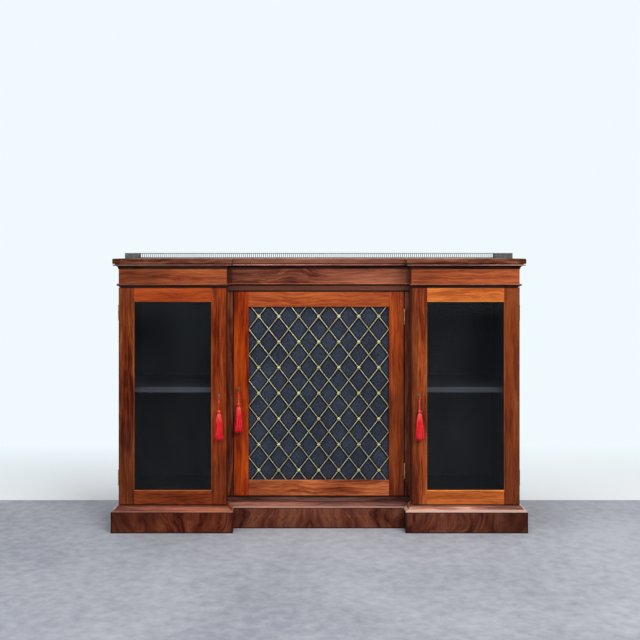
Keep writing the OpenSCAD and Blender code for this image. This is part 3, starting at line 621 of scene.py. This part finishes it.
for name in nodes:
    for ending, finish in FINISHES.items():
        if name.endswith(ending):
            by_face(name, (finish,), lambda face: 0)


# Mesh helpers: each adds a form to a list of points and a list of faces
def piece(name, points, faces, material, body, smooth=True):
    """Makes an object of points and faces that rides on a body."""
    mesh = bpy.data.meshes.new(name)
    mesh.from_pydata([tuple(p) for p in points], [], faces)
    mesh.materials.append(material)
    mesh.validate()
    obj = bpy.data.objects.new(name, mesh)
    scene.collection.objects.link(obj)
    for face in mesh.polygons:
        face.use_smooth = smooth
    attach(obj, body)
    return obj


def circle(k, sides):
    """The cosine and sine of one of several equal steps round a circle."""
    a = 2 * math.pi * k / sides
    return math.cos(a), math.sin(a)


def join_rings(faces, start, rings, sides):
    """Faces between rings of points that follow each other."""
    for i in range(rings - 1):
        for k in range(sides):
            a = start + i * sides + k
            b = start + i * sides + (k + 1) % sides
            faces.append((a, b, b + sides, a + sides))


def close_rings(faces, start, rings, sides):
    """Faces between rings of points, and one across each end."""
    join_rings(faces, start, rings, sides)
    faces.append(tuple(start + k for k in reversed(range(sides))))
    faces.append(tuple(start + (rings - 1) * sides + k for k in range(sides)))


def add_tube(points, faces, route, radii, sides=6):
    """A tube along a route, with a radius at each point."""
    start = len(points)
    last = len(route) - 1
    for i, p in enumerate(route):
        ahead = Vector(route[min(i + 1, last)]) - Vector(route[max(i - 1, 0)])
        ahead.normalize()
        one = ahead.cross(Vector((0, 1, 0.01))).normalized()
        two = ahead.cross(one)
        for k in range(sides):
            c, s = circle(k, sides)
            points.append(Vector(p) + (one * c + two * s) * radii[i])
    close_rings(faces, start, len(route), sides)


def add_turned(points, faces, centre, profile, sides=24, squash=1.0):
    """A turned form about a vertical axis, from a list of (radius, height)."""
    start = len(points)
    for r, h in profile:
        for k in range(sides):
            c, s = circle(k, sides)
            points.append(Vector(centre) + Vector((r * c, r * squash * s, h)))
    close_rings(faces, start, len(profile), sides)


def add_ring(points, faces, centre, axis, major, minor, around=28, sides=8):
    """A ring of round wire about an axis: y or z."""
    start = len(points)
    first = Vector((1, 0, 0))
    second = {"y": Vector((0, 0, 1)), "z": Vector((0, 1, 0))}[axis]
    normal = first.cross(second)
    for i in range(around):
        c, s = circle(i, around)
        out = first * c + second * s
        for k in range(sides):
            c, s = circle(k, sides)
            points.append(Vector(centre) + out * (major + minor * c) + normal * minor * s)
    for i in range(around):
        for k in range(sides):
            here = start + i * sides
            there = start + (i + 1) % around * sides
            faces.append((here + k, here + (k + 1) % sides, there + (k + 1) % sides, there + k))


def add_dome(points, faces, centre, radius, height, sides=14, rings=4):
    """A low dome that faces the front."""
    start = len(points)
    for i in range(rings):
        a = math.pi / 2 * i / rings
        for k in range(sides):
            c, s = circle(k, sides)
            points.append(centre + Vector((radius * math.cos(a) * c, -height * math.sin(a),
                                           radius * math.cos(a) * s)))
    tip = len(points)
    points.append(centre + Vector((0, -height, 0)))
    join_rings(faces, start, rings, sides)
    last = start + (rings - 1) * sides
    for k in range(sides):
        faces.append((last + k, last + (k + 1) % sides, tip))
    faces.append(tuple(start + k for k in reversed(range(sides))))


# Tassels: a loop over the key's bow, a cord, a wound knot and a skirt of silk threads
CORD_L = 0.042
CORD_IN_TASSEL = 0.062
CORD_D = 0.0042
# The cord's lean on its way down: shares of its length, sideways and down
ROUTE = (
    (0, 0), (0.006, 0.12), (0.014, 0.26), (0.018, 0.4),
    (0.018, 0.55), (0.012, 0.7), (0.005, 0.85), (0, 1),
)
ROUTE_STEPS = 4
INNER_STEPS = 12
LOOP_R = 0.0032
LOOP_WIRE_R = 0.0010
KNOT_L = 0.010
KNOT_STEPS = 24
KNOT_NECK_R = 0.0018
KNOT_SWELL = 0.0051
KNOT_RELIEF = 0.00022
KNOT_HALF_TURNS = 22
WINDING_FROM = 0.0107
WINDINGS = 4
WINDING_R = 0.0040
WINDING_WIRE_R = 0.00075
WINDING_PITCH = 0.0011
TASSEL_L = 0.112
SKIRT_HALF = 0.0160
SKIRT_FROM = 0.105
SQUASH = 0.78
CORE_FIT = 0.94
CORE_INSET = 0.0012
CORE_SHARES = (0.10, 0.14, 0.18, 0.24, 0.32, 0.45, 0.6, 0.75, 0.9, 0.975)
# Layers of threads: how many, their share of the skirt's width, and their radius
THREADS = ((62, 1.0, 0.0010), (54, 0.93, 0.0011))
THREAD_STEPS = 10
TASSEL_SEEDS = {"left": 11, "right": 12, "centre": 13}

# Keys: x and z of the axis, y of the door's face, and the side that the cord leans to
KEY_OUT = 0.0248
BOW_OUT = 0.0159
BOW_DROP = 0.0075
KEYS = {}
for side, hand in (("left", 1), ("right", -1), ("centre", 1)):
    low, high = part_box(side + "_door_key")
    KEYS[side] = ((low.x + high.x) / 2, low.y + KEY_OUT, (low.z + high.z) / 2, hand)
scarlet = silk_thread("scarlet", (0.76, 0.010, 0.015), shoulder_highlight=(0.90, 0.12, 0.11))
scarlet_wound = silk_thread("scarlet_wound", (0.82, 0.045, 0.035), 5200.0)


def skirt_half(t):
    """Half the skirt's width at a share of the tassel's length."""
    s = max(0.0, (t - 0.12) / 0.88)
    return SKIRT_HALF * (0.27 + 0.73 * s ** 0.5)


def spline(a, b, c, d, t):
    """A point on the smooth curve from b to c, with a before them and d after."""
    square = (2 * a - 5 * b + 4 * c - d) * t * t
    cube = (3 * b - a - 3 * c + d) * t ** 3
    return 0.5 * (2 * b + (c - a) * t + square + cube)


def smooth_route(marks, steps):
    """A smooth curve through marks in a plane, with several steps from each to the next."""
    ends = [marks[0], *marks, marks[-1]]
    found = []
    for i in range(len(marks) - 1):
        for k in range(steps):
            found.append(tuple(spline(*[ends[i + j][n] for j in range(4)], k / steps) for n in range(2)))
    return [*found, marks[-1]]


def add_thread(points, faces, knot_top, a, sway, k, reach, end, thick):
    """One thread of a skirt, at an angle round it."""
    route, radii = [], []
    for i in range(THREAD_STEPS + 1):
        t = SKIRT_FROM + (end - SKIRT_FROM) * i / THREAD_STEPS
        r = skirt_half(t) * reach - thick * 0.5
        b = a + sway * (t - SKIRT_FROM) * math.sin(2.5 * t + k)
        route.append(knot_top + Vector((r * math.cos(b), r * SQUASH * math.sin(b), -t * TASSEL_L)))
        radii.append(thick * (0.62 + 0.38 * min(1.0, i / 4)) * (0.75 if i == THREAD_STEPS else 1.0))
    add_tube(points, faces, route, radii, 5)


for side, (kx, face_y, kz, hand) in KEYS.items():
    body = side + "_tassel"
    rng = random.Random(TASSEL_SEEDS[side])
    bow = Vector((kx, face_y - BOW_OUT, kz - BOW_DROP))
    cord_top = bow + Vector((0, 0, -LOOP_R))
    knot_top = cord_top + Vector((0, 0, -CORD_L))

    points, faces = [], []
    add_ring(points, faces, bow, "y", LOOP_R, LOOP_WIRE_R)
    loop = piece(side + "_cord_loop", points, faces, scarlet_wound, body)

    points, faces = [], []
    knot = []
    for i in range(KNOT_STEPS + 1):
        t = i / KNOT_STEPS
        swell = math.sqrt(max(0.0, math.sin(math.pi * t)))
        relief = KNOT_RELIEF * math.sin(KNOT_HALF_TURNS * math.pi * t)
        knot.append((KNOT_NECK_R + KNOT_SWELL * swell + relief, -KNOT_L * t))
    add_turned(points, faces, knot_top, knot, 28)
    for i in range(WINDINGS):
        below = Vector((0, 0, -WINDING_FROM - WINDING_PITCH * i))
        add_ring(points, faces, knot_top + below, "z", WINDING_R, WINDING_WIRE_R)
    head = piece(side + "_tassel_knot", points, faces, scarlet_wound, body)

    points, faces = [], []
    core = [(CORE_FIT * skirt_half(t) - CORE_INSET, -t * TASSEL_L) for t in CORE_SHARES]
    add_turned(points, faces, knot_top, core, 30, SQUASH)
    for count, share, thick in THREADS:
        for k in range(count):
            a = 2 * math.pi * (k + rng.uniform(-0.3, 0.3)) / count
            fold = 1 + 0.05 * math.cos(7 * a + 2 * kx * 100) + 0.03 * math.cos(12 * a)
            reach = share * fold * rng.uniform(0.96, 1.03)
            sway = rng.uniform(-0.05, 0.05)
            end = rng.uniform(0.975, 1.0)
            add_thread(points, faces, knot_top, a, sway, k, reach, end, thick)
    skirt = piece(side + "_tassel_skirt", points, faces, scarlet, body)

    curve = bpy.data.curves.new(side + "_cord", "CURVE")
    curve.dimensions = "3D"
    curve.bevel_depth = CORD_D / 2
    curve.bevel_resolution = 3
    curve.use_fill_caps = True
    line = curve.splines.new("POLY")
    route = smooth_route([(hand * across * CORD_L, -down * CORD_L) for across, down in ROUTE], ROUTE_STEPS)
    route += [(0, -CORD_L - CORD_IN_TASSEL * k / INNER_STEPS) for k in range(1, INNER_STEPS + 1)]
    line.points.add(len(route) - 1)
    for mark, (dx, dz) in zip(line.points, route):
        mark.co = (cord_top.x + dx, cord_top.y, cord_top.z + dz, 1)
    curve.materials.append(scarlet_wound)
    cord = bpy.data.objects.new(side + "_cord", curve)
    scene.collection.objects.link(cord)
    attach(cord, body)
    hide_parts(side + "_door_tassel")

# The lattice of the grille: diamonds across, rows of rosettes, the border, and from it to the first row
COLUMNS = 7
ROWS = 7
BORDER = 0.0075
ROW_INSET = 0.036
grille_low, grille_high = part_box("centre_door_grille")
middle = (grille_low + grille_high) / 2
pitch_x = (grille_high.x - grille_low.x - 2 * BORDER) / COLUMNS
pitch_z = (grille_high.z - grille_low.z - 2 * BORDER - 2 * ROW_INSET) / (ROWS - 1)

# The dark cloth behind the grille, stretched flat with a faint ripple
CLOTH_COLUMNS = 56
CLOTH_ROWS = 68
CLOTH_INSET = 0.0004
CLOTH_T = 0.0008
RIPPLE = 0.0002
low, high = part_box("centre_door_silk")
points, faces = [], []
for layer in (0, 1):
    for j in range(CLOTH_ROWS + 1):
        for i in range(CLOTH_COLUMNS + 1):
            u, v = i / CLOTH_COLUMNS, j / CLOTH_ROWS
            calm = math.sin(math.pi * u) * math.sin(math.pi * v)
            ripple = RIPPLE * calm * (math.sin(23 * u + 2 * math.sin(5 * v)) + math.sin(31 * u - 3 * v))
            y = low.y + CLOTH_INSET + ripple + CLOTH_T * layer
            points.append(Vector((low.x + u * (high.x - low.x), y, low.z + v * (high.z - low.z))))


def grid(i, j, layer):
    """The number of a point of the cloth."""
    return (layer * (CLOTH_ROWS + 1) + j) * (CLOTH_COLUMNS + 1) + i


for j in range(CLOTH_ROWS):
    for i in range(CLOTH_COLUMNS):
        faces.append((grid(i, j, 0), grid(i + 1, j, 0), grid(i + 1, j + 1, 0), grid(i, j + 1, 0)))
        faces.append((grid(i, j, 1), grid(i, j + 1, 1), grid(i + 1, j + 1, 1), grid(i + 1, j, 1)))
rim = [(i, 0) for i in range(CLOTH_COLUMNS)] + [(CLOTH_COLUMNS, j) for j in range(CLOTH_ROWS)]
rim += [(i, CLOTH_ROWS) for i in range(CLOTH_COLUMNS, 0, -1)] + [(0, j) for j in range(CLOTH_ROWS, 0, -1)]
for a, b in zip(rim, rim[1:] + rim[:1]):
    faces.append((grid(*a, 0), grid(*a, 1), grid(*b, 1), grid(*b, 0)))
twill = cloth("dark_twill", (0.026, 0.033, 0.053), middle, pitch_x, pitch_z)
silk = piece("grille_cloth", points, faces, twill, "centre_door")
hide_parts("centre_door_silk")

# A rounded reed runs along the middle of each strip of the grille, as far as the door's opening
REED_HALF = 0.0017
REED_RISE = 0.0011
REED_STEPS = 8
REED_GAP = 0.0002
SHORTEST_REED = 0.004
STRIP_T = 0.0016
STRIP_DEPTH = 0.0024


def add_reed(points, faces, ends, side):
    """A half round bar between two points, flat at its back. side is the way across it."""
    start = len(points)
    row = REED_STEPS + 1
    for spot in ends:
        for n in range(row):
            a = math.pi * n / REED_STEPS
            points.append(spot + side * REED_HALF * math.cos(a) + Vector((0, -REED_RISE * math.sin(a), 0)))
    for n in range(REED_STEPS):
        faces.append((start + n, start + n + 1, start + n + 1 + row, start + n + row))
    faces.append((start + REED_STEPS, start, start + row, start + row + REED_STEPS))
    faces.append(tuple(start + n for n in reversed(range(row))))
    faces.append(tuple(start + row + n for n in range(row)))


strip_face = grille_low.y + STRIP_DEPTH
half_w = COLUMNS * pitch_x / 2 - REED_GAP
half_h = (grille_high.z - grille_low.z - 2 * BORDER) / 2 - REED_GAP
points, faces = [], []
for lean, y in ((1, strip_face), (-1, strip_face + STRIP_T)):
    slope = lean * pitch_z / pitch_x
    along_strip = Vector((1, 0, slope)).normalized()
    side_strip = Vector((-along_strip.z, 0, along_strip.x))
    for k in range(-2 * COLUMNS, 2 * COLUMNS + 1):
        from_x, to_x = sorted(k * pitch_x + end / slope for end in (-half_h, half_h))
        from_x = max(-half_w, from_x)
        to_x = min(half_w, to_x)
        if to_x - from_x < SHORTEST_REED:
            continue
        ends = [Vector((middle.x + dx, y, middle.z + (dx - k * pitch_x) * slope)) for dx in (from_x, to_x)]
        add_reed(points, faces, ends, side_strip)
piece("grille_reeds", points, faces, dull_brass, "centre_door", smooth=False)

# Rosettes: a domed boss among four petals, over each flat one of the grille
ROSETTE_DEPTH = 0.0012
PETAL_OUT = 0.0036
PETAL_R = 0.0033
PETAL_RISE = 0.0019
BOSS_R = 0.0030
BOSS_RISE = 0.0031
points, faces = [], []
for i in range(COLUMNS):
    for j in range(ROWS):
        spot = Vector((middle.x + (i - (COLUMNS - 1) / 2) * pitch_x, grille_low.y + ROSETTE_DEPTH,
                       middle.z + (j - (ROWS - 1) / 2) * pitch_z))
        for k in range(4):
            c, s = circle(k, 4)
            add_dome(points, faces, spot + Vector((PETAL_OUT * c, 0, PETAL_OUT * s)), PETAL_R, PETAL_RISE)
        add_dome(points, faces, spot, BOSS_R, BOSS_RISE)
piece("rosettes", points, faces, pale_brass, "centre_door")

# Keyhole liners, set in the lock stiles round the keys
LINER_R = 0.0041
LINER_WIRE_R = 0.0008
LINER_PROUD = 0.0001
for side, (kx, face_y, kz, hand) in KEYS.items():
    points, faces = [], []
    add_ring(points, faces, Vector((kx, face_y - LINER_PROUD, kz)), "y", LINER_R, LINER_WIRE_R)
    piece(side + "_keyhole_liner", points, faces, brass, side + "_door")

# Glazing beads behind the panes of the wing doors, mitred at the corners. The section is a list of
# (distance from the pane's edge, distance behind the pane).
BEAD_W = 0.0072
BEAD_GAP = 0.0003
BEAD_SECTION = (
    (0, 0),
    (BEAD_W, 0),
    (BEAD_W, 0.003),
    (BEAD_W * 0.82, 0.0055),
    (BEAD_W * 0.5, 0.0068),
    (0, 0.0072),
)
bead_wood = wood("wood_glazing_bead", (0.10, 0.028, 0.014), "z", 61.0, 0.6, figure=0.5)
for side in ("left", "right"):
    low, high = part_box(side + "_door_glass")
    left, right = low.x + BEAD_GAP, high.x - BEAD_GAP
    foot, head = low.z + BEAD_GAP, high.z - BEAD_GAP
    points, faces = [], []
    corners = ((left, foot, 1, 1), (right, foot, -1, 1), (right, head, -1, -1), (left, head, 1, -1))
    for x, z, sx, sz in corners:
        for inward, out in BEAD_SECTION:
            points.append(Vector((x + sx * inward, high.y + BEAD_GAP + out, z + sz * inward)))
    n = len(BEAD_SECTION)
    for corner in range(4):
        here, there = corner * n, (corner + 1) % 4 * n
        for k in range(n):
            faces.append((here + k, there + k, there + (k + 1) % n, here + (k + 1) % n))
    piece(side + "_glazing_bead", points, faces, bead_wood, side + "_door", smooth=False)

# Screws of the hinges and locks, with a dark bar across each head as the painted shade of its slot
HEAD_SIDES = 16
HEAD_PROFILE = ((1.0, 0.0), (1.0, 0.3), (0.8, 0.8), (0.4, 1.0))
SLOT_PROUD = 0.00004
UP = Vector((0, 0, 1))
slot_shade = paint("slot_shade", (0.012, 0.010, 0.008))


def add_head(points, faces, centre, out, radius, rise):
    """A screw's head, which stands out from its centre along out."""
    one = out.cross(UP).normalized()
    start = len(points)
    for share, height in HEAD_PROFILE:
        for k in range(HEAD_SIDES):
            c, s = circle(k, HEAD_SIDES)
            points.append(centre + (one * c + UP * s) * radius * share + out * rise * height)
    close_rings(faces, start, len(HEAD_PROFILE), HEAD_SIDES)


def add_slot(points, faces, centre, out, radius, rise):
    """The slot across a screw's head, as a thin dark bar of painted shade in it."""
    lean = (out.cross(UP).normalized() + UP * 0.4).normalized()
    wide = out.cross(lean) * 0.13
    start = len(points)
    for height in (0.0, rise + SLOT_PROUD):
        for a, b in ((-1, -1), (1, -1), (1, 1), (-1, 1)):
            points.append(centre + (lean * 0.8 * a + wide * b) * radius + out * height)
    close_rings(faces, start, 2, 4)


def screws(name, spots, out, radius, rise, material, body, slot):
    """One piece with a screw at each spot."""
    points, faces = [], []
    for spot in spots:
        add_head(points, faces, spot, out, radius, rise)
    heads = len(faces)
    for spot in spots:
        add_slot(points, faces, spot, out, radius, rise)
    made = piece(name, points, faces, material, body, smooth=False)
    made.data.materials.append(slot_shade)
    for face in made.data.polygons[heads:]:
        face.material_index = 1


LOCK_SCREW = (0.0022, 0.0005)
LOCK_SCREW_IN = 0.005
for side in ("left", "right", "centre"):
    low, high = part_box(side + "_door_lock")
    spots = [Vector((x, high.y, z)) for x in (low.x + LOCK_SCREW_IN, high.x - LOCK_SCREW_IN)
             for z in (low.z + LOCK_SCREW_IN, high.z - LOCK_SCREW_IN)]
    screws(side + "_lock_screws", spots, Vector((0, 1, 0)), *LOCK_SCREW, dark_steel,
           side + "_door", "steel")

# Each hinge has three screws in each leaf: the height above its foot, and the share of the leaf's width
HINGE_SCREW = (0.0021, 0.0002)
KNUCKLE_R = 0.0032
PIVOT_OUT = 0.0036
HINGE_L = 0.058
GAPS = {"left": 0.001, "right": 0.001, "centre": 0.002}
SCREW_MARKS = ((0.010, 0.35), (0.029, 0.65), (0.048, 0.35))
for side, gap in GAPS.items():
    low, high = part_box(side + "_door_hinge_leaves")
    heights = [(foot + up, share) for foot in (low.z, high.z - HINGE_L) for up, share in SCREW_MARKS]
    if side == "centre":
        pivot = (low.x + high.x) / 2
        start = low.y + KNUCKLE_R + PIVOT_OUT
        out = Vector((1, 0, 0))
        leaf = [Vector((pivot - gap / 2, start + share * (high.y - start), z)) for z, share in heights]
    else:
        pivot = (low.y + high.y) / 2
        end = low.x if side == "right" else high.x
        start = high.x - KNUCKLE_R - PIVOT_OUT if side == "right" else low.x + KNUCKLE_R + PIVOT_OUT
        out = Vector((0, 1, 0))
        leaf = [Vector((start + share * (end - start), pivot - gap / 2, z)) for z, share in heights]
    plate = [spot + out * gap for spot in leaf]
    screws(side + "_leaf_screws", leaf, out, *HINGE_SCREW, brass, side + "_door", "brass")
    screws(side + "_plate_screws", plate, -out, *HINGE_SCREW, brass, "carcass", "brass")

# Floor and backdrop: a grey floor as far as a line behind the cabinet, and white beyond it
FLOOR_HALF = 12
BACKDROP_Y = 0.24
WHITE_Y = 1.3
BACKDROP = (0.87, 0.955, 0.99, 1)


def backdrop_rays(tree):
    """1 for the rays that see the backdrop: from the camera, off gloss and through glass."""
    path = tree.nodes.new("ShaderNodeLightPath")
    seen = path.outputs["Is Camera Ray"]
    for ray in ("Is Glossy Ray", "Is Transmission Ray"):
        larger = tree.nodes.new("ShaderNodeMath")
        larger.operation = "MAXIMUM"
        tree.links.new(seen, larger.inputs[0])
        tree.links.new(path.outputs[ray], larger.inputs[1])
        seen = larger.outputs[0]
    return seen


floor_mesh = bpy.data.meshes.new("floor")
square = [(FLOOR_HALF * sx, FLOOR_HALF * sy, 0) for sx, sy in ((-1, -1), (1, -1), (1, 1), (-1, 1))]
floor_mesh.from_pydata(square, [], [(0, 1, 2, 3)])
floor = bpy.data.objects.new("floor", floor_mesh)
scene.collection.objects.link(floor)
g = Graph("floor")
x, y, z = g.split(g.place)
cloud = g.noise((x, y, z), (1.3, 1.3, 1.3), 5.0, 0.6)
speck = g.noise((x, y, z), (26, 26, 26), 3.0, 0.6)
both = g.total((cloud, 0.6), (speck, 0.4))
concrete = g.ramp(both, [(0.38, (0.29, 0.305, 0.35)), (0.62, (0.46, 0.475, 0.525))])
beyond = g.math("GREATER_THAN", y, BACKDROP_Y)
g.set("Base Color", g.mix(beyond, concrete, (0.90, 0.93, 0.95)))
g.set("Roughness", 0.7)
g.set("Specular IOR Level", 0.2)
far = g.span(y, BACKDROP_Y, WHITE_Y, 0.0, 1.0)
white = g.tree.nodes.new("ShaderNodeEmission")
white.inputs["Color"].default_value = BACKDROP
blend = g.tree.nodes.new("ShaderNodeMixShader")
g.join(g.math("MULTIPLY", g.math("MULTIPLY", backdrop_rays(g.tree), far), beyond), blend.inputs[0])
g.join(g.bsdf.outputs[0], blend.inputs[1])
g.join(white.outputs[0], blend.inputs[2])
g.join(blend.outputs[0], g.out.inputs["Surface"])
floor_mesh.materials.append(g.mat)

# World: a soft light on the object, and the backdrop's colour where it is seen
world = bpy.data.worlds.new("world")
scene.world = world
world.use_nodes = True
tree = world.node_tree
tree.nodes.clear()
out = tree.nodes.new("ShaderNodeOutputWorld")
mixer = tree.nodes.new("ShaderNodeMixShader")
soft = tree.nodes.new("ShaderNodeBackground")
soft.inputs["Color"].default_value = (0.95, 0.97, 1.0, 1)
soft.inputs["Strength"].default_value = 0.42
plain = tree.nodes.new("ShaderNodeBackground")
plain.inputs["Color"].default_value = BACKDROP
plain.inputs["Strength"].default_value = 1.0
tree.links.new(backdrop_rays(tree), mixer.inputs[0])
tree.links.new(soft.outputs[0], mixer.inputs[1])
tree.links.new(plain.outputs[0], mixer.inputs[2])
tree.links.new(mixer.outputs[0], out.inputs[0])

# Lamps
AIM = Vector((0, 0, 0.5))


def lamp(name, place, size, power, colour=(1, 1, 1)):
    """A soft lamp that points at the middle of the cabinet."""
    data = bpy.data.lights.new(name, "AREA")
    data.shape = "RECTANGLE"
    data.size, data.size_y = size
    data.energy = power
    data.color = colour
    obj = bpy.data.objects.new(name, data)
    obj.location = place
    obj.rotation_euler = (AIM - Vector(place)).to_track_quat("-Z", "Y").to_euler()
    scene.collection.objects.link(obj)


lamp("key", (1.9, -3.5, 3.1), (2.2, 1.8), 128, (1.0, 0.98, 0.95))
lamp("fill", (-2.6, -3.2, 2.2), (2.4, 2.4), 42, (0.95, 0.98, 1.0))
lamp("overhead", (0, -0.6, 3.6), (3.0, 1.6), 40)

scene.view_settings.view_transform = "Standard"
